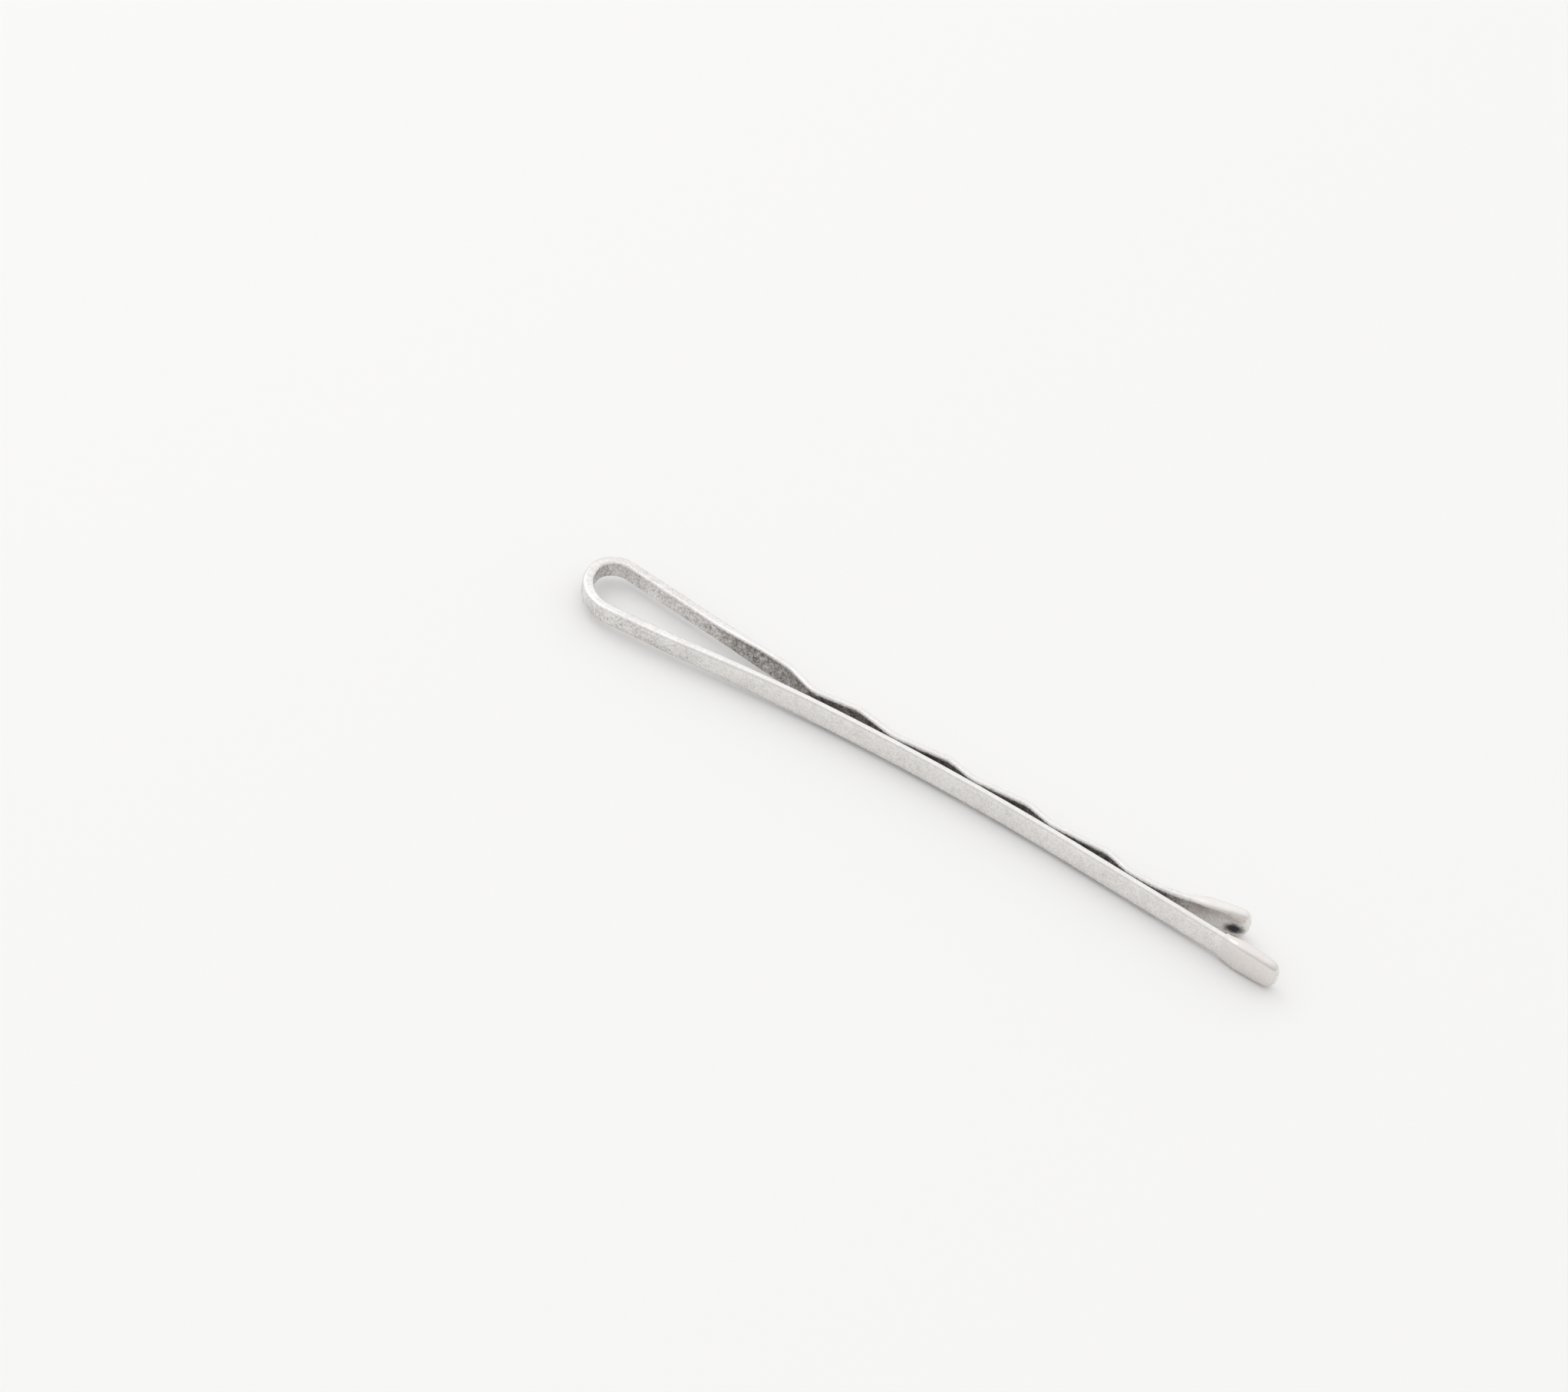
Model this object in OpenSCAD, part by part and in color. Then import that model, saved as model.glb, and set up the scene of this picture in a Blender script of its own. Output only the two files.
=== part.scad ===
// Bobby pin: one spring wire bent double, with a dipped lacquer bead on each tip.
// The wire is rounder in the bow, and rolled flat along the legs.
// It lies on its side. X runs from the bow to the tips, Y across the two legs,
// and Z along the width of the wire. All sizes are in millimetres and degrees.

/* [Wire] */
// Width of the flattened wire of the legs, seen as its broad face
wire_w = 1.65; // [1.4:0.05:1.9]
// Thickness of the flattened wire of the legs
wire_t = 0.52; // [0.44:0.02:0.6]
// Rounding of the four long edges of the flattened wire
edge_r = 0.17; // [0.05:0.01:0.2]

/* [Bow] */
// Width of the rounder wire of the bow
bow_w = 1.2; // [1:0.05:1.4]
// Thickness of the rounder wire of the bow
bow_t = 0.74; // [0.6:0.02:0.8]
// Rounding of the four long edges of the wire in the bow
bow_edge_r = 0.26; // [0.1:0.01:0.26]
// Bend radius of the bow on the straight leg's side, to the middle of the wire
bow_straight_r = 2.6; // [2.2:0.05:3]
// Bend radius of the bow on the crimped leg's side, to the middle of the wire
bow_crimped_r = 1.55; // [1.2:0.05:1.8]

/* [Straight leg] */
// Length of the whole pin, from the bow to the straight leg's bead
pin_len = 50; // [45:0.5:58]
// Length of the flat stretch beside the bow
cheek_len = 4.4; // [3.8:0.1:4.8]
// Slope of the flat stretch towards the crimped leg
cheek_angle = 4.5; // [3.5:0.1:5]
// Bend radius of the neck between the flat stretch and the sprung leg
neck_r = 16; // [8:0.5:20]
// Slope at which the sprung leg leaves the neck
neck_angle = 6.8; // [6.3:0.1:7.4]
// Radius of the long spring curve of the leg
leg_r = 152; // [140:2:166]
// Slope at which the spring curve ends, away from the crimped leg
tail_angle = 3.6; // [2.8:0.1:4.4]
// Distance along the wire from the tip of the bow at which this leg is quite flat
straight_flat_at = 18.6; // [14:0.2:20]

/* [Crimped leg] */
// Slope of the crimped leg between the bow and the shoulder
crimped_cheek_angle = 6; // [5:0.1:6.4]
// Bend of the shoulder that brings the crimped leg down to the straight leg
shoulder_angle = 15; // [13:0.5:18]
// Bend radius of the shoulder
shoulder_r = 2.2; // [1.2:0.1:3]
// Distance along the spring curve from the neck to the first valley
first_valley = 8.9; // [8.5:0.1:9.6]
// Distance from the last valley to the end of the straight leg's wire
last_valley = 10.2; // [9.7:0.1:11]
// Number of arches between the first valley and the last
arch_count = 4; // [2:1:5]
// Slope of an arch on the side of the bow
arch_rise_angle = 6; // [4.5:0.25:8]
// Slope of an arch on the side of the tips
arch_fall_angle = 14.5; // [11:0.25:16]
// Bend radius at the top of an arch
crest_r = 2.1; // [1:0.1:3]
// Bend radius in a valley
valley_r = 1.9; // [1:0.05:2.6]
// Bend that flares the tip away from the straight leg
flare_angle = 20; // [16:0.5:22]
// Bend radius of the flare
flare_r = 10.5; // [6:0.5:12]
// How much shorter the crimped leg is than the straight leg
crimped_short = 3.2; // [2.4:0.1:3.6]
// Distance along the wire from the tip of the bow to where this leg starts to be flat
crimped_round_to = 9; // [6:0.2:9.6]
// Distance along the wire from the tip of the bow at which this leg is quite flat
crimped_flat_at = 14; // [12:0.2:15]

/* [Tip beads] */
// Length of a bead along the wire
bead_len = 3.8; // [3.2:0.1:4.6]
// Size of a bead along the width of the wire
bead_w = 2.1; // [2:0.05:2.6]
// Size of a bead across the thickness of the wire
bead_t = 1.05; // [0.85:0.05:1.3]
// Lacquer beyond the end of the wire
bead_nose = 0.5; // [0.3:0.05:0.8]
// Thickness of the lacquer where a bead starts
bead_lip = 0.06; // [0.04:0.01:0.1]

/* [Fit] */
// Gap that keeps each valley but the first just clear of the straight leg
contact_gap = 0.04; // [0.02:0.01:0.1]
// Gap at the first valley, where the spring of the shoulder holds the leg off
first_gap = 0.36; // [0.04:0.02:0.5]

/* [Hidden] */
$fn = 64;
silver = [0.77, 0.77, 0.78];
bead_silver = [0.72, 0.72, 0.74];

// A pose is [x, y, heading, distance along the wire]. A move is [length, 0] for a straight
// stretch, or [radius, turn] for a bend, where a positive turn goes to the left.
function move_len(move) = move[1] == 0 ? move[0] : move[0] * abs(move[1]) * PI / 180;

function after(pose, move) =
    let (heading = pose[2] + move[1],
         r = sign(move[1]) * move[0],
         distance = pose[3] + move_len(move))
    move[1] == 0
    ? [pose[0] + move[0] * cos(heading), pose[1] + move[0] * sin(heading), heading, distance]
    : [pose[0] + r * (sin(heading) - sin(pose[2])),
       pose[1] - r * (cos(heading) - cos(pose[2])),
       heading,
       distance];

function poses(pose, moves, i = 0) =
    i == len(moves) ? [pose] : concat([pose], poses(after(pose, moves[i]), moves, i + 1));

function last(list) = list[len(list) - 1];

function xy(pose) = [pose[0], pose[1]];

function along(heading) = [cos(heading), sin(heading)];

// Three bends that lead from one pose to another, with the two straight stretches
// between them worked out so that the strip arrives there.
function joined(start, end, bend_a, bend_b, bend_c_r) =
    let (heading_a = start[2] + bend_a[1],
         heading_b = heading_a + bend_b[1],
         bend_c = [bend_c_r, end[2] - heading_b],
         bends_end = last(poses(start, [bend_a, bend_b, bend_c])),
         rest = xy(end) - xy(bends_end),
         room = cross(along(heading_a), along(heading_b)))
    [bend_a, [cross(rest, along(heading_b)) / room, 0],
     bend_b, [cross(along(heading_a), rest) / room, 0],
     bend_c];

// The bow, from its outermost point round to each leg
half_bow_t = bow_t / 2;
bow_down = [half_bow_t, 0, -90, 0];
bow_up = [half_bow_t, 0, 90, 0];
straight_bend = [bow_straight_r, 90 + cheek_angle];
crimped_bend = [bow_crimped_r, -90 - crimped_cheek_angle];

// The straight leg
straight_start = after(bow_down, straight_bend);
cheek_moves = [[cheek_len, 0], [neck_r, neck_angle - cheek_angle]];
spring_start = last(poses(straight_start, cheek_moves));
spring_bend = [leg_r, -neck_angle - tail_angle];
spring_len = move_len(spring_bend);
toe_start = after(spring_start, spring_bend);
toe_len = (pin_len - toe_start[0]) / cos(tail_angle) - bead_nose;
straight_moves = concat(cheek_moves, [spring_bend, [toe_len, 0]]);
straight_end = last(poses(straight_start, straight_moves));

// The straight leg's middle line at a distance from the neck
function leg_pose(s) =
    s < spring_len
    ? after(spring_start, [leg_r, -s / leg_r * 180 / PI])
    : after(toe_start, [s - spring_len, 0]);

// The crimped leg's middle line in a valley, above the straight leg's
valley_pitch = (spring_len + toe_len - last_valley - first_valley) / arch_count;
function valley(i) =
    let (pose = leg_pose(first_valley + i * valley_pitch),
         rise = wire_t + (i == 0 ? first_gap : contact_gap))
    [pose[0] - rise * sin(pose[2]), pose[1] + rise * cos(pose[2]), pose[2], 0];

function arch(i) =
    joined(valley(i), valley(i + 1), [valley_r, arch_rise_angle],
           [crest_r, -arch_rise_angle - arch_fall_angle], valley_r);

shoulder = joined(bow_up, valley(0), crimped_bend, [shoulder_r, -shoulder_angle], valley_r);
crimped_start = after(bow_up, crimped_bend);
arches = [for (i = [0 : arch_count - 1]) each arch(i)];
flare_bend = [flare_r, flare_angle];
flare_start = after(valley(arch_count), flare_bend);
flare_len = (pin_len - crimped_short - flare_start[0]) / cos(flare_start[2]) - bead_nose;
crimped_moves = concat([for (i = [1 : 4]) shoulder[i]], arches, [flare_bend, [flare_len, 0]]);
crimped_end = last(poses(crimped_start, crimped_moves));

// The model stands with its lowest point on z = 0, and its middle over the origin
low_y = -bow_straight_r - half_bow_t;
high_y = max(bow_crimped_r + half_bow_t, crimped_end[1] + bead_t / 2);
middle = [-pin_len / 2, -(low_y + high_y) / 2, max(bead_w, wire_w) / 2];

function between(a, b, share) = a + (b - a) * share;

// A share that starts and ends gently
function ease(u) = let (v = min(max(u, 0), 1)) v * v * (3 - 2 * v);

// Section of the wire as [across, up] points, with its long edges rounded.
// Flatness goes from 0 in the bow to 1 where a leg is quite flat.
corner_signs = [[1, 1], [-1, 1], [-1, -1], [1, -1]];
function wire_section(flatness) =
    let (half_w = between(bow_w, wire_w, flatness) / 2,
         half_t = between(bow_t, wire_t, flatness) / 2,
         r = between(bow_edge_r, edge_r, flatness))
    [for (corner = [0 : 3], a = [0 : 45 : 90])
        [corner_signs[corner][0] * (half_t - r) + r * cos(90 * corner + a),
         corner_signs[corner][1] * (half_w - r) + r * sin(90 * corner + a)]];

// A section's points, set square to the wire at a pose
function ring(pose, section) =
    [for (p = section) [pose[0] - p[0] * sin(pose[2]), pose[1] + p[0] * cos(pose[2]), p[1]]];

// A closed solid through a row of rings that all have as many points
module loft(rings) {
    sides = len(rings[0]);
    end = (len(rings) - 1) * sides;
    polyhedron(
        points = [for (r = rings) each r],
        faces = concat(
            [[for (k = [0 : sides - 1]) k]],
            [for (i = [0 : sides : end - sides], k = [0 : sides - 1])
                let (next = (k + 1) % sides)
                [i + k, i + sides + k, i + sides + next, i + next]],
            [[for (k = [sides - 1 : -1 : 0]) end + k]]),
        convexity = 6);
}

// Poses along a leg, close enough together to keep the bends within chord_error,
// and to let the section change smoothly
chord_error = 0.002;
longest_facet = 1.2;
function facets(move) =
    max(ceil(move_len(move) / longest_facet),
        move[1] == 0 ? 1 : ceil(abs(move[1]) / (2 * acos(1 - chord_error / move[0]))));

function fine_poses(start, moves) =
    let (way = poses(start, moves))
    concat([start],
           [for (i = [0 : len(moves) - 1], k = [1 : facets(moves[i])])
               let (part = k / facets(moves[i]))
               after(way[i], moves[i][1] == 0
                             ? [moves[i][0] * part, 0]
                             : [moves[i][0], moves[i][1] * part])]);

module strip(start, moves, round_to, flat_at) {
    loft([for (pose = fine_poses(start, moves))
        ring(pose, wire_section(ease((pose[3] - round_to) / (flat_at - round_to))))]);
}

// One half of the bow, from its outermost point down to a leg
module bow_half(radius, turn) {
    translate([half_bow_t + radius, 0, 0])
        rotate(180)
            rotate_extrude(angle = turn)
                translate([radius, 0])
                    polygon(wire_section(0));
}

// A bead grows from a thin lip on the wire to a full drop, and ends in a blunt nose.
// A squareness of 2 makes an oval section, and a higher one fuller corners.
bead_sides = 24;
bead_rings = 16;
lip_t = wire_t + 2 * bead_lip;
lip_w = wire_w + 2 * bead_lip;
lip_squareness = 5;
drop_squareness = 3.2;
swell_end = 0.5;
nose_start = 0.78;
nose_squareness = 2.8;
nose_flat = 0.96;

function signed_power(value, power) = sign(value) * pow(abs(value), power);

function oval(t, w, squareness) =
    [for (k = [0 : bead_sides - 1])
        let (a = 360 * k / bead_sides, power = 2 / squareness)
        [t / 2 * signed_power(cos(a), power), w / 2 * signed_power(sin(a), power)]];

// One ring of a bead, at a share u of its length
function bead_ring(u) =
    let (swell = ease(u / swell_end),
         tip = min(max(u - nose_start, 0) / (1 - nose_start), nose_flat),
         close = pow(1 - pow(tip, nose_squareness), 1 / nose_squareness))
    ring([bead_nose - bead_len + u * bead_len, 0, 0],
         oval((lip_t + (bead_t - lip_t) * swell) * close,
              (lip_w + (bead_w - lip_w) * swell) * close,
              lip_squareness + (drop_squareness - lip_squareness) * swell));

module bead(wire_end) {
    translate([wire_end[0], wire_end[1], 0])
        rotate(wire_end[2])
            difference() {
                loft([for (i = [0 : bead_rings - 1]) bead_ring(sin(90 * i / (bead_rings - 1)))]);
                translate([-bead_len, 0, 0])
                    rotate([90, 0, 90])
                        linear_extrude(height = bead_len)
                            polygon(wire_section(1));
            }
}

module bow() {
    color(silver)
        translate(middle) {
            bow_half(bow_straight_r, 90 + cheek_angle);
            mirror([0, 1, 0])
                bow_half(bow_crimped_r, 90 + crimped_cheek_angle);
        }
}

module straight_leg() {
    color(silver)
        translate(middle)
            strip(straight_start, straight_moves, straight_start[3], straight_flat_at);
}

module crimped_leg() {
    color(silver)
        translate(middle)
            strip(crimped_start, crimped_moves, crimped_round_to, crimped_flat_at);
}

module straight_tip_bead() {
    color(bead_silver)
        translate(middle)
            bead(straight_end);
}

module crimped_tip_bead() {
    color(bead_silver)
        translate(middle)
            bead(crimped_end);
}

bow();
straight_leg();
crimped_leg();
straight_tip_bead();
crimped_tip_bead();
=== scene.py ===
import math

import bmesh
import bpy
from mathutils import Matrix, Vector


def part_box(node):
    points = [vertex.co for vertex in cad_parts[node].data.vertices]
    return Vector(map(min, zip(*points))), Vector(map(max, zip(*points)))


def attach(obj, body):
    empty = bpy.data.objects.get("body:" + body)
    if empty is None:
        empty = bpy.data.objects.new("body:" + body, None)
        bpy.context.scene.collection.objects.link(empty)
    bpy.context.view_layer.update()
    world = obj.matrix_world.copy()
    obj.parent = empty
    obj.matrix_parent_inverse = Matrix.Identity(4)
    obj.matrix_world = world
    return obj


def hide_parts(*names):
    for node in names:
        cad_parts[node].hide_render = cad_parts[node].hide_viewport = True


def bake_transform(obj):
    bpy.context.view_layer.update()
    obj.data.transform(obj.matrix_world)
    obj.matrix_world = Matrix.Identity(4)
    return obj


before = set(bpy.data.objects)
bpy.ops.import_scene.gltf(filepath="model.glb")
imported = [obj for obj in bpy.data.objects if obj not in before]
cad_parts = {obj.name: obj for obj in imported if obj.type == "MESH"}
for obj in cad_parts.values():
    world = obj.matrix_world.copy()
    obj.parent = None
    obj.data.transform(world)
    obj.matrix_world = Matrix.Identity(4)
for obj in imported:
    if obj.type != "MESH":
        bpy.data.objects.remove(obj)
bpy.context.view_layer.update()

# Bow
# The middle of one tempered spring wire, lacquered silver all over, and the pin's spring. It is bent double
# round two forming pins, one wide and one tighter, and is rounder here than along the legs.
mm = 0.001
bow_width = 1.2 * mm
bow_thickness = 0.74 * mm
bow_rounding = 0.21 * mm
wide_bend = 2.6 * mm
tight_bend = 1.55 * mm
straight_cheek_angle = 4.5
crimped_cheek_angle = 6

# The same wire where it is rolled flat, and the length of the steps in which it gets flatter
wire_width = 1.65 * mm
wire_thickness = 0.52 * mm
rolling_step = 0.4 * mm

# The lacquer film varies in thickness, so the steel under it is a little thinner than the finished wire
film = 0.024 * mm
lump_size = 0.42 * mm
lump_height = 0.014 * mm
fleck_size = 0.13 * mm
fleck_height = 0.004 * mm

# How finely the wire is shaped, and how much of its half thickness from the face down counts as that face
edge_facets = 5
grain_step = 0.085 * mm
longest_edge = 1.6 * grain_step
crease_angle = math.radians(50)
face_depth = 0.2

# The side of the wire's inner face, as seen along the way that it is fed
on_left = 1
on_right = -1

# The bow's outermost point lies on the frame's left side, and its wide bend on the lowest
bow_low, bow_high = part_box("bow")
apex_x = bow_low[0] + bow_thickness / 2
apex_y = bow_low[1] + wide_bend + bow_thickness / 2
wire_z = (bow_low[2] + bow_high[2]) / 2


def follow(place, move):
    """The place [x, y, heading] after a move: [length, 0] feeds wire on, [radius, turn] bends it."""
    x, y, heading = place
    length, turn = move
    start = math.radians(heading)
    end = math.radians(heading + turn)
    if turn == 0:
        return [x + length * math.cos(end), y + length * math.sin(end), heading]
    reach = math.copysign(length, turn)
    x += reach * (math.sin(end) - math.sin(start))
    y -= reach * (math.cos(end) - math.cos(start))
    return [x, y, heading + turn]


def follow_all(place, moves):
    for move in moves:
        place = follow(place, move)
    return place


def deselect_all():
    bpy.ops.object.select_all(action="DESELECT")


def pick_edges(mesh, rule):
    """Selects the edges that a rule picks and nothing else, and gives their number."""
    bpy.ops.mesh.select_all(action="DESELECT")
    shape = bmesh.from_edit_mesh(mesh)
    chosen = [edge for edge in shape.edges if rule(edge)]
    for edge in chosen:
        edge.select_set(True)
    bmesh.update_edit_mesh(mesh)
    return len(chosen)


def flat_section(name, place, width, thickness, rounding, facets, inner_side=0):
    """A flat section with rounded corners, square to the wire at a place, left in edit mode.

    Its attribute face is 1 on the broad face on the inner side, -1 on the outer one and 0 on the edges."""
    x, y, heading = place
    facing = math.radians(heading)
    deselect_all()
    bpy.ops.mesh.primitive_plane_add(size=1, location=(x, y, wire_z), rotation=(0, math.pi / 2, facing))
    section = bpy.context.object
    section.name = section.data.name = name
    section.scale = (width, thickness, 1)
    bpy.ops.object.transform_apply(location=True, rotation=True, scale=True)
    bpy.ops.object.mode_set(mode="EDIT")
    bpy.ops.mesh.select_all(action="SELECT")
    bpy.ops.mesh.bevel(offset=rounding, segments=facets, affect="VERTICES")
    bpy.ops.object.mode_set(mode="OBJECT")
    face = section.data.attributes.new("face", "FLOAT", "POINT")
    for vertex, mark in zip(section.data.vertices, face.data):
        across = (vertex.co.y - y) * math.cos(facing) - (vertex.co.x - x) * math.sin(facing)
        share = inner_side * across / (thickness / 2)
        mark.value = math.copysign(max(0, abs(share) - (1 - face_depth)) / face_depth, share)
    bpy.ops.object.mode_set(mode="EDIT")
    bpy.ops.mesh.select_all(action="SELECT")
    return section


def halve_long_edges(mesh):
    while pick_edges(mesh, lambda edge: edge.calc_length() > longest_edge):
        bpy.ops.mesh.subdivide(number_cuts=1)


def lay_lacquer(piece, lumps):
    """Gives a piece the uneven film of dipped lacquer, as [size, height] pairs of lumps."""
    for size, height in lumps:
        texture = bpy.data.textures.new("lacquer_lumps", "CLOUDS")
        texture.noise_scale = size
        texture.noise_depth = 1
        texture.noise_basis = "IMPROVED_PERLIN"
        displace = piece.modifiers.new("lacquer", "DISPLACE")
        displace.texture = texture
        displace.texture_coords = "LOCAL"
        displace.strength = height
        displace.mid_level = 0.5
        bpy.ops.object.modifier_apply(modifier=displace.name)


def flatness(distance, round_to, flat_at):
    """How flat the wire is at a distance: 0 as round as in the bow, 1 as flat as along the legs."""
    share = min(max((distance - round_to) / (flat_at - round_to), 0), 1)
    return share * share * (3 - 2 * share)


def steel_size(flat_share):
    """The thickness and width of the steel under the lacquer where the wire is this flat."""
    thickness = bow_thickness + (wire_thickness - bow_thickness) * flat_share - film
    width = bow_width + (wire_width - bow_width) * flat_share - film
    return thickness, width


def form_wire(name, place, moves, inner_side, round_to, flat_at):
    """Forms wire from a place by straight feeds and bends, as the machine does, and rolls it flat from
    one distance to another. Where the section changes it goes in short steps, one ring at a time."""
    thickness, width = steel_size(0)
    wire = flat_section(name, place, width, thickness, bow_rounding, edge_facets, inner_side)
    mesh = wire.data
    bpy.ops.mesh.delete(type="ONLY_FACE")
    halve_long_edges(mesh)
    bpy.ops.mesh.select_all(action="SELECT")
    distance = 0
    for length, turn in moves:
        whole = length * math.radians(abs(turn)) if turn else length
        changing = distance < flat_at and distance + whole > round_to
        parts = math.ceil(whole / rolling_step) if changing else 1
        for part in range(parts):
            x, y, heading = place
            move = [length, turn / parts] if turn else [length / parts, 0]
            place = follow(place, move)
            if turn == 0:
                feed = (place[0] - x, place[1] - y, 0)
                bpy.ops.mesh.extrude_region_move(TRANSFORM_OT_translate={"value": feed})
            else:
                reach = math.copysign(length, turn)
                facing = math.radians(heading)
                centre = (x - reach * math.sin(facing), y + reach * math.cos(facing), wire_z)
                steps = max(1, math.ceil(whole / parts / grain_step))
                bpy.ops.mesh.spin(steps=steps, angle=math.radians(move[1]), center=centre, axis=(0, 0, -1))
            before = flatness(distance, round_to, flat_at)
            distance += whole / parts
            after = flatness(distance, round_to, flat_at)
            if after > before:
                thinner, wider = [new / old for new, old in zip(steel_size(after), steel_size(before))]
                ring_centre = (place[0], place[1], wire_z)
                bpy.ops.transform.resize(value=(thinner, thinner, wider), center_override=ring_centre)
    halve_long_edges(mesh)
    bpy.ops.mesh.select_all(action="SELECT")
    bpy.ops.mesh.normals_make_consistent(inside=False)
    bpy.ops.object.mode_set(mode="OBJECT")
    lay_lacquer(wire, [[lump_size, lump_height], [fleck_size, fleck_height]])
    bpy.ops.object.mode_set(mode="EDIT")
    pick_edges(mesh, lambda edge: edge.is_boundary)
    bpy.ops.mesh.edge_face_add()
    bpy.ops.mesh.select_all(action="SELECT")
    bpy.ops.mesh.normals_make_consistent(inside=False)
    bpy.ops.object.mode_set(mode="OBJECT")
    bpy.ops.object.shade_smooth_by_angle(angle=crease_angle)
    return wire


class Shade:
    """One output among a finish's nodes. Sums on it add the nodes that work them out."""

    def __init__(self, tree, socket=None):
        self.tree = tree
        self.socket = socket

    def node(self, kind, settings, sockets, out=0):
        """Adds a node, sets it, feeds its sockets with values or links, and gives one of its outputs."""
        made = self.tree.nodes.new(kind)
        for name, value in settings.items():
            setattr(made, name, value)
        for key, value in sockets.items():
            if isinstance(value, Shade):
                self.tree.links.new(value.socket, made.inputs[key])
            else:
                made.inputs[key].default_value = value
        return Shade(self.tree, made.outputs[out])

    def reckon(self, operation, first, second):
        return self.node("ShaderNodeMath", {"operation": operation}, {0: first, 1: second})

    def __add__(self, other):
        return self.reckon("ADD", self, other)

    def __mul__(self, other):
        return self.reckon("MULTIPLY", self, other)

    def __sub__(self, other):
        return self.reckon("SUBTRACT", self, other)

    def __rsub__(self, other):
        return self.reckon("SUBTRACT", other, self)

    __radd__ = __add__
    __rmul__ = __mul__


# Where the finish changes, in millimetres from the middle of the pin. Along it: where the gap between the
# legs narrows, where the tips flare apart, and where the bow turns back; the inner faces' painted shade grows
# where the legs narrow and round the bow's turn, and fades where the tips flare apart. Across it: to the
# crimped side.
narrowing = [-20, -13]
flaring = [14, 18.5]
turning_back = [-23.2, -24.1]
crimped_cheek_side = [0.2, 1.4]

# How well the silver covers the steel on a clean face, and the range of cover from bare to fully bright
clean_cover = 0.62
bare_to_bright = [-0.2, 0.85]


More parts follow.
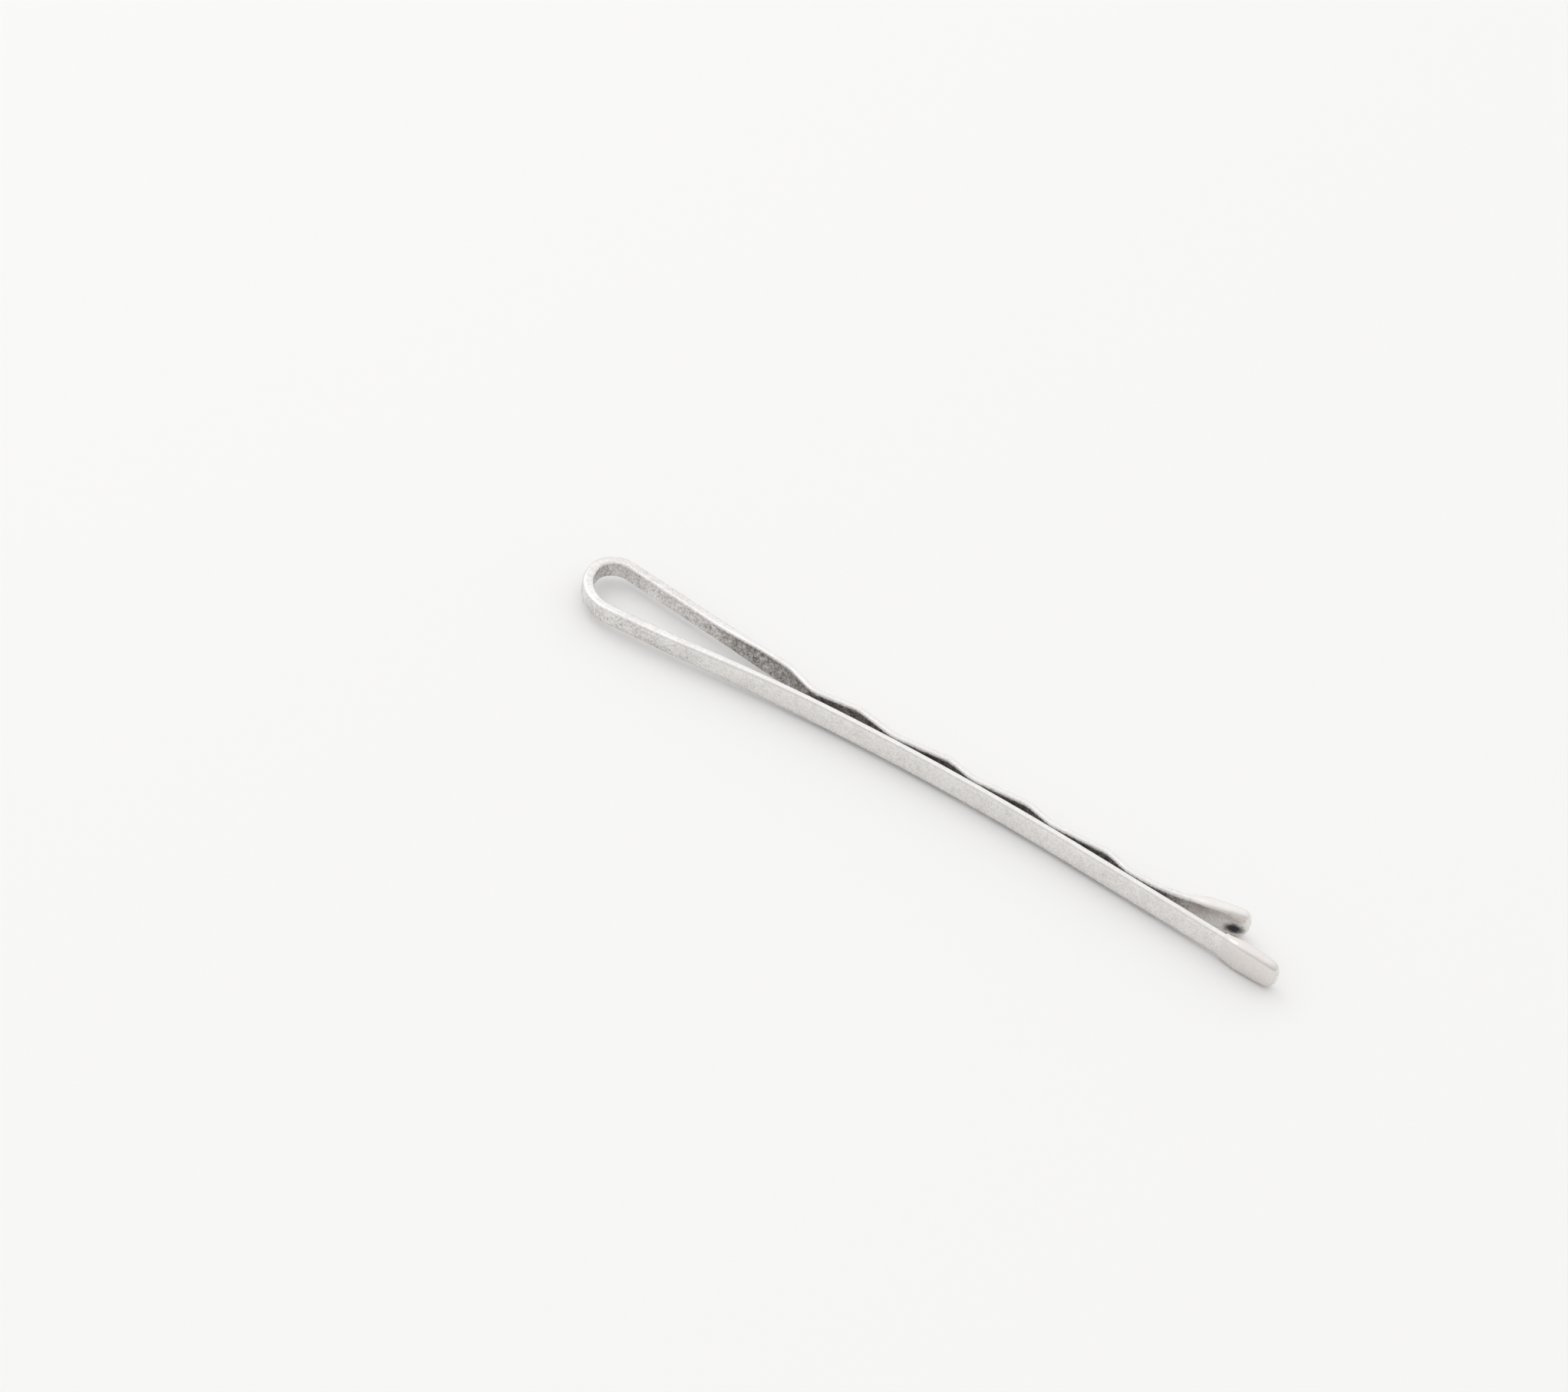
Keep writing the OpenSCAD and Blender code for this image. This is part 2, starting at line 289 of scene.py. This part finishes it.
def silver_lacquer(name, silver, dullness, fleck_depth, coarseness, dark_spot=None):
    """Silver lacquer full of fine metal flakes: mottled on the flats, sparkling where it catches light.

    Deep between the legs and round the inside of the bow the inner faces are painted duller and darker, with
    dark grain: partly thinner spray, partly painted shade of the closed legs.
    A dark spot is [middle, stretch, radius] in millimetres: on the straight bead where the lacquer has run
    off the steel, on the crimped bead a patch of painted shade."""
    finish = bpy.data.materials.new(name)
    finish.use_nodes = True
    tree = finish.node_tree
    shader = tree.nodes["Principled BSDF"]
    start = Shade(tree)

    def noise(per_mm, detail, roughness):
        return start.node("ShaderNodeTexNoise", {}, {"Vector": in_mm, "Scale": per_mm, "Detail": detail,
                                                     "Roughness": roughness}, out="Fac")

    def between(value, low, high):
        return start.node("ShaderNodeMapRange", {"interpolation_type": "SMOOTHSTEP"},
                          {"Value": value, "From Min": low, "From Max": high})

    # Where on the pin a point lies: on which face, how far along and how far across
    place = start.node("ShaderNodeTexCoord", {}, {}, out="Object")
    in_mm = start.node("ShaderNodeVectorMath", {"operation": "SCALE"}, {0: place, "Scale": 1 / mm})
    face = start.node("ShaderNodeAttribute", {"attribute_name": "face"}, {}, out="Fac")
    inner_face = face.reckon("MAXIMUM", face, 0)
    outer_face = face.reckon("MAXIMUM", 0 - face, 0)
    along_pin = start.node("ShaderNodeSeparateXYZ", {}, {0: in_mm}, out="X")
    across_pin = start.node("ShaderNodeSeparateXYZ", {}, {0: in_mm}, out="Y")
    deep = between(along_pin, *narrowing)
    opened = between(along_pin, *flaring)
    turned = between(along_pin, *turning_back)
    cheek_edge = (1 - inner_face - outer_face) * between(across_pin, *crimped_cheek_side) * (1 - deep)

    # How dark the inner faces are painted, partly for thinner spray and partly as painted shade between the
    # closed legs and inside the bow, how much grain shows there, and how even the legs are outside
    inner_spray_and_painted_shade = inner_face * (0.16 + 0.58 * deep - 0.7 * opened + 0.32 * turned)
    gritty = inner_face * (0.25 + 0.75 * deep + 0.5 * turned)
    settled = 1 - 0.45 * deep * (1 - inner_face)
    broad = 0.55 + 0.45 * (inner_face + outer_face)

    # The film's own unevenness, from wide clouds to single flakes
    flakes = start.node("ShaderNodeTexVoronoi", {}, {"Vector": in_mm, "Scale": 11.0}, out="Color")
    flake = start.node("ShaderNodeSeparateColor", {}, {0: flakes})
    mottle = noise(0.9, 3.0, 0.55)
    smears = noise(2.4, 4.0, 0.7)
    grain = noise(6.5, 3.0, 0.7)
    # Patches where the inner faces are painted darker still: partly thinner spray, partly painted shade
    patchy_spray_and_shade = inner_spray_and_painted_shade * between(noise(3.4, 4.0, 0.7), 0.3, 0.7)
    pits = between(noise(5.6, 3.0, 0.75), 0.58, 0.72)
    specks = between(noise(3.6, 3.0, 0.8), 0.70, 0.77)
    swing = (mottle - 0.5) * 0.5 + (smears - 0.5) * 0.4 + (grain - 0.5) * 0.8 + (flake - 0.5) * 0.2

    # The cover less what is worn off or never got there, and less the painted shade on the inner faces, gives
    # the tone, from dark steel to light silver
    cover = clean_cover + swing * broad * settled * coarseness + (grain - 0.5) * gritty * 0.6
    wear_and_painted_shade = (pits * 0.12 + specks * 0.45) * coarseness + pits * gritty * 0.25 + inner_spray_and_painted_shade * 0.34 + patchy_spray_and_shade * 0.26
    wear_and_painted_shade = wear_and_painted_shade + outer_face * (1 - deep) * (0.06 + pits * 0.16 + between(smears, 0.45, 0.65) * 0.1)
    wear_and_painted_shade = wear_and_painted_shade + cheek_edge * (0.08 + pits * 0.12)
    # A dark spot, mixed towards the silver's dark end: on the straight bead bare steel where the lacquer ran
    # off, on the crimped bead painted shade
    if dark_spot:
        middle, stretch, radius = dark_spot
        from_spot = start.node("ShaderNodeVectorMath", {"operation": "SUBTRACT"}, {0: in_mm, 1: middle})
        from_spot = start.node("ShaderNodeVectorMath", {"operation": "DIVIDE"}, {0: from_spot, 1: stretch})
        reach = start.node("ShaderNodeVectorMath", {"operation": "LENGTH"}, {0: from_spot}, out="Value")
        wear_and_painted_shade = wear_and_painted_shade + 0.9 * between(reach + (smears - 0.5) * 0.35, radius, radius * 0.1)
    tone = between(cover - wear_and_painted_shade, *bare_to_bright)
    dark, light = silver
    colour = start.node("ShaderNodeMix", {"data_type": "RGBA"}, {"Factor": tone, 6: dark, 7: light}, out=2)
    tree.links.new(colour.socket, shader.inputs["Base Color"])

    # Thin and pitted places are rougher, and single flakes are smoother
    rough = dullness + (grain - 0.5) * 0.3 + pits * 0.1 - (flake - 0.5) * 0.14 + inner_spray_and_painted_shade * 0.12
    tree.links.new(rough.socket, shader.inputs["Roughness"])
    shader.inputs["Metallic"].default_value = 0.92
    shader.inputs["Coat Weight"].default_value = 0.1
    shader.inputs["Coat Roughness"].default_value = 0.3
    relief = (grain * 1.1 + flake * 0.45 + mottle * 0.6 - pits * 0.5) * broad * settled
    bump = start.node("ShaderNodeBump", {}, {"Height": relief, "Strength": 0.5, "Distance": fleck_depth})
    tree.links.new(bump.socket, shader.inputs["Normal"])
    return finish


wire_silver = [(0.12, 0.095, 0.078, 1), (0.92, 0.90, 0.888, 1)]
wire_dullness = 0.30
wire_fleck_depth = 0.03 * mm
wire_finish = silver_lacquer("lacquered_wire_finish", wire_silver, wire_dullness, wire_fleck_depth, 1)

# The bow runs from the straight leg round to the crimped leg. It isn't rolled flat anywhere, so the two
# distances between which that happens lie far past its end.
never_flat = [1, 2]
apex_down = [apex_x, apex_y, -90]
apex_up = [apex_x, apex_y, 90]
straight_start = follow(apex_down, [wide_bend, 90 + straight_cheek_angle])
crimped_start = follow(apex_up, [tight_bend, -90 - crimped_cheek_angle])
bow_moves = [[wide_bend, -90 - straight_cheek_angle], [tight_bend, -90 - crimped_cheek_angle]]
x, y, heading = straight_start
bow = form_wire("wire_bow", [x, y, heading + 180], bow_moves, on_right, *never_flat)
bow.data.materials.append(wire_finish)
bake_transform(bow)
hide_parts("bow")

# Straight leg
# The same wire from the bow to the straight tip, rolled flat as it is fed: a slightly sloping stretch, a
# slight neck, then one long spring curve that presses it against the crimps.
cheek_length = 4.4 * mm
neck_radius = 16 * mm
neck_angle = 6.8
spring_radius = 152 * mm
toe_angle = 3.6
straight_flat_at = 18.6 * mm
bead_nose = 0.5 * mm
pin_length = 50 * mm

wide_bend_length = wide_bend * math.radians(90 + straight_cheek_angle)
spring_length = spring_radius * math.radians(neck_angle + toe_angle)
neck_moves = [[cheek_length, 0], [neck_radius, neck_angle - straight_cheek_angle]]
spring_move = [spring_radius, -neck_angle - toe_angle]
spring_start = follow_all(straight_start, neck_moves)
toe_start = follow(spring_start, spring_move)
toe_length = (bow_low[0] + pin_length - toe_start[0]) / math.cos(math.radians(toe_angle)) - bead_nose
straight_moves = neck_moves + [spring_move, [toe_length, 0]]
straight_leg = form_wire("wire_straight_leg", straight_start, straight_moves, on_left,
                         0, straight_flat_at - wide_bend_length)
straight_leg.data.materials.append(wire_finish)
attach(straight_leg, "straight_side")
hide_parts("straight_leg")

# Crimped leg
# The other end of the same wire. A crimping die presses a shoulder and four arches into it, each rising
# gently and falling more steeply, and flares its tip away so that hair slips in.
shoulder_angle = 15
shoulder_radius = 2.2 * mm
first_valley = 8.9 * mm
last_valley = 10.2 * mm
first_gap = 0.36 * mm
contact_gap = 0.04 * mm
arch_count = 4
arch_rise = 6
arch_fall = 14.5
crest_radius = 2.1 * mm
valley_radius = 1.9 * mm
flare_angle = 20
flare_radius = 10.5 * mm
crimped_short = 3.2 * mm
crimped_round_to = 9 * mm
crimped_flat_at = 14 * mm

valley_pitch = (spring_length + toe_length - last_valley - first_valley) / arch_count


def leg_place(distance):
    """The straight leg's middle line at a distance from the neck."""
    if distance < spring_length:
        return follow(spring_start, [spring_radius, -math.degrees(distance / spring_radius)])
    return follow(toe_start, [distance - spring_length, 0])


def valley_place(number):
    """The crimped leg's middle line where it comes closest to the straight leg."""
    x, y, heading = leg_place(first_valley + number * valley_pitch)
    rise = wire_thickness + (first_gap if number == 0 else contact_gap)
    tilt = math.radians(heading)
    return [x - rise * math.sin(tilt), y + rise * math.cos(tilt), heading]


def joining_moves(place, goal, first, second, last_radius):
    """Three bends from one place to another, with the two straight feeds between them worked out."""
    heading_a = place[2] + first[1]
    heading_b = heading_a + second[1]
    third = [last_radius, goal[2] - heading_b]
    x, y, heading = follow_all(place, [first, second, third])
    rest_x, rest_y = goal[0] - x, goal[1] - y
    a, b = math.radians(heading_a), math.radians(heading_b)
    room = math.sin(b - a)
    feed_a = (rest_x * math.sin(b) - rest_y * math.cos(b)) / room
    feed_b = (rest_y * math.cos(a) - rest_x * math.sin(a)) / room
    return [first, [feed_a, 0], second, [feed_b, 0], third]


tight_bend_move = [tight_bend, -90 - crimped_cheek_angle]
tight_bend_length = tight_bend * math.radians(90 + crimped_cheek_angle)
shoulder_move = [shoulder_radius, -shoulder_angle]
to_first_valley = joining_moves(apex_up, valley_place(0), tight_bend_move, shoulder_move, valley_radius)
crimped_moves = to_first_valley[1:]
for number in range(arch_count):
    crimped_moves += joining_moves(valley_place(number), valley_place(number + 1), [valley_radius, arch_rise],
                                   [crest_radius, -arch_rise - arch_fall], valley_radius)
flare_start = follow(valley_place(arch_count), [flare_radius, flare_angle])
flare_reach = bow_low[0] + pin_length - crimped_short - flare_start[0]
flare_length = flare_reach / math.cos(math.radians(flare_start[2])) - bead_nose
crimped_moves += [[flare_radius, flare_angle], [flare_length, 0]]
crimped_leg = form_wire("wire_crimped_leg", crimped_start, crimped_moves, on_right,
                        crimped_round_to - tight_bend_length, crimped_flat_at - tight_bend_length)
crimped_leg.data.materials.append(wire_finish)
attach(crimped_leg, "crimped_side")
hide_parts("crimped_leg")

# Straight tip bead
# A drop of thick lacquer that the leg's tip was dipped in. It grows from a thin lip on the wire into a full,
# blunt drop, and covers the cut end so that it doesn't scratch.
bead_length = 3.8 * mm
bead_width = 2.1 * mm
bead_thickness = 1.05 * mm
bead_lip = 0.06 * mm
bead_steps = 44
bead_facets = 6
bead_smoothing = 0.25
edge_rounding = 0.17 * mm
swell_end = 0.36
nose_start = 0.78
nose_squareness = 2.8
nose_flat = 0.96
drop_film = 0.07 * mm
drop_lumps = [[1.1 * mm, 0.05 * mm], [0.35 * mm, 0.018 * mm], [0.13 * mm, 0.005 * mm]]


def drop_share(share, lip, full):
    """A size of the drop at a share of its length, from its lip to its full size and round the nose."""
    swell = min(share / swell_end, 1)
    swell = swell * swell * (3 - 2 * swell)
    tip = min(max(share - nose_start, 0) / (1 - nose_start), nose_flat)
    close = (1 - tip ** nose_squareness) ** (1 / nose_squareness)
    return (lip + (full - lip) * swell) * close


def shape_drop():
    """A drop of lacquer along X, round a wire that ends at the origin: its socket, then its skin from
    the lip to the nose."""
    lip_width = wire_width + 2 * bead_lip
    lip_thickness = wire_thickness + 2 * bead_lip
    lip_rounding = edge_rounding + bead_lip
    full_width = bead_width - drop_film
    full_thickness = bead_thickness - drop_film
    drop = flat_section("lacquer_drop", [0, 0, 0], lip_width, lip_thickness, lip_rounding, bead_facets)
    cover = bead_length - bead_nose
    bpy.ops.transform.translate(value=(-cover, 0, 0))
    bpy.ops.mesh.inset(thickness=bead_lip)
    bpy.ops.mesh.extrude_region_move(TRANSFORM_OT_translate={"value": (cover, 0, 0)})
    pick_edges(drop.data, lambda edge: edge.is_boundary)
    shares = [math.sin(math.radians(90 * step / bead_steps)) for step in range(bead_steps + 1)]
    for before, share in zip(shares, shares[1:]):
        along = (share - before) * (bead_length - drop_film / 2)
        bpy.ops.mesh.extrude_region_move(TRANSFORM_OT_translate={"value": (along, 0, 0)})
        thicker = drop_share(share, lip_thickness, full_thickness)
        thicker /= drop_share(before, lip_thickness, full_thickness)
        wider = drop_share(share, lip_width, full_width)
        wider /= drop_share(before, lip_width, full_width)
        bpy.ops.transform.resize(value=(1, thicker, wider), center_override=(0, 0, wire_z))
        bpy.ops.mesh.vertices_smooth(factor=bead_smoothing, xaxis=False)
    bpy.ops.mesh.edge_face_add()
    bpy.ops.mesh.select_all(action="SELECT")
    bpy.ops.mesh.normals_make_consistent(inside=False)
    bpy.ops.object.mode_set(mode="OBJECT")
    return drop


def dip_tip(drop, name, wire_end):
    """Copies the drop onto a wire's end, with a mesh and an uneven film of its own."""
    deselect_all()
    drop.select_set(True)
    bpy.context.view_layer.objects.active = drop
    bpy.ops.object.duplicate()
    bead = bpy.context.object
    bead.name = bead.data.name = name
    x, y, heading = wire_end
    bead.location = (x, y, 0)
    bead.rotation_euler = (0, 0, math.radians(heading))
    bpy.ops.object.transform_apply(location=True, rotation=True, scale=True)
    lay_lacquer(bead, drop_lumps)
    bpy.ops.object.shade_smooth_by_angle(angle=crease_angle)
    return bead


drop_silver = [(0.15, 0.125, 0.11, 1), (0.87, 0.834, 0.812, 1)]
drop_dullness = 0.24
drop_fleck_depth = 0.005 * mm
drop_coarseness = 0.3
small_bare_spot = [(24.5, -2.2, 2.0), (1.5, 1, 1), 0.2]
drop_finish = silver_lacquer("lacquer_bead_finish", drop_silver, drop_dullness, drop_fleck_depth,
                             drop_coarseness, small_bare_spot)
lacquer_drop = shape_drop()
straight_bead = dip_tip(lacquer_drop, "straight_lacquer_bead", follow_all(straight_start, straight_moves))
straight_bead.data.materials.append(drop_finish)
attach(straight_bead, "straight_side")
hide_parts("straight_tip_bead")

# Crimped tip bead
# The same drop on the flared tip, clear of the straight leg, so that hair finds its way between the two.
# Low on its inner face, where the gap beneath it lies in shade, a dark patch of painted shade is mixed into
# its finish.
shaded_spot_silver = [(0.04, 0.04, 0.045, 1), (0.94, 0.904, 0.88, 1)]
painted_shade_spot = [(21.15, 0.23, 0.8), (1.6, 1, 1), 0.62]
shade_spotted_finish = silver_lacquer("shade_spotted_bead_finish", shaded_spot_silver, drop_dullness, drop_fleck_depth,
                             drop_coarseness, painted_shade_spot)
crimped_bead = dip_tip(lacquer_drop, "crimped_lacquer_bead", follow_all(crimped_start, crimped_moves))
crimped_bead.data.materials.append(shade_spotted_finish)
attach(crimped_bead, "crimped_side")
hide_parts("crimped_tip_bead")

# Both tips are dipped, so the drop that they were copied from goes
deselect_all()
lacquer_drop.select_set(True)
bpy.ops.object.delete()

# Floor
# A plain white tabletop that the pin lies on, on its side. It is matt and larger than the view, and it
# isn't part of the pin.
table_size = 3
table_roughness = 0.9
table_white = (0.92, 0.917, 0.907, 1)
deselect_all()
bpy.ops.mesh.primitive_plane_add(size=table_size)
table = bpy.context.object
table.name = table.data.name = "white_table"
table_finish = bpy.data.materials.new("white_table_finish")
table_finish.use_nodes = True
table_finish.node_tree.nodes["Principled BSDF"].inputs["Base Color"].default_value = table_white
table_finish.node_tree.nodes["Principled BSDF"].inputs["Roughness"].default_value = table_roughness
table.data.materials.append(table_finish)

# Light
# Soft studio light: a pale surround, a little brighter above and behind the pin, and one large soft box
# high on the bow's side.
surround_glow = 0.80
bright_glow = 0.30
bright_way = (-0.45, 0.55, 0.70)
box_place = (-0.42, 0.12, 0.45)
box_tilt = (-14, -42, 0)
box_size = 0.4
box_power = 0.45
surround = bpy.data.worlds.new("surround")
bpy.context.scene.world = surround
surround.use_nodes = True
sky = surround.node_tree
sky_start = Shade(sky)
way = sky_start.node("ShaderNodeTexCoord", {}, {}, out="Generated")
facing_light = sky_start.node("ShaderNodeVectorMath", {"operation": "DOT_PRODUCT"}, {0: way, 1: bright_way},
                              out="Value")
glow = facing_light * bright_glow + surround_glow
sky.links.new(glow.socket, sky.nodes["Background"].inputs["Strength"])
sky.nodes["Background"].inputs["Color"].default_value = (1, 1, 1, 1)
bpy.ops.object.light_add(type="AREA", location=box_place,
                         rotation=[math.radians(angle) for angle in box_tilt])
soft_box = bpy.context.object
soft_box.name = "soft_box"
soft_box.data.shape = "SQUARE"
soft_box.data.size = box_size
soft_box.data.energy = box_power
bpy.context.scene.view_settings.view_transform = "Standard"

# Camera
# It looks down on the pin from the front and the tips' side through a long lens, as a close-up
# held by hand does.
camera_place = (69.033 * mm, -185.416 * mm, 188.409 * mm)
camera_tilt = (46.259, -9.124, 31.755)
camera_lens = 103.958
sensor_width = 36
nearest_seen = 0.01
bpy.ops.object.camera_add(location=camera_place, rotation=[math.radians(angle) for angle in camera_tilt])
camera = bpy.context.object
camera.data.lens = camera_lens
camera.data.sensor_fit = "HORIZONTAL"
camera.data.sensor_width = sensor_width
camera.data.clip_start = nearest_seen
camera.data.dof.use_dof = False
bpy.context.scene.camera = camera
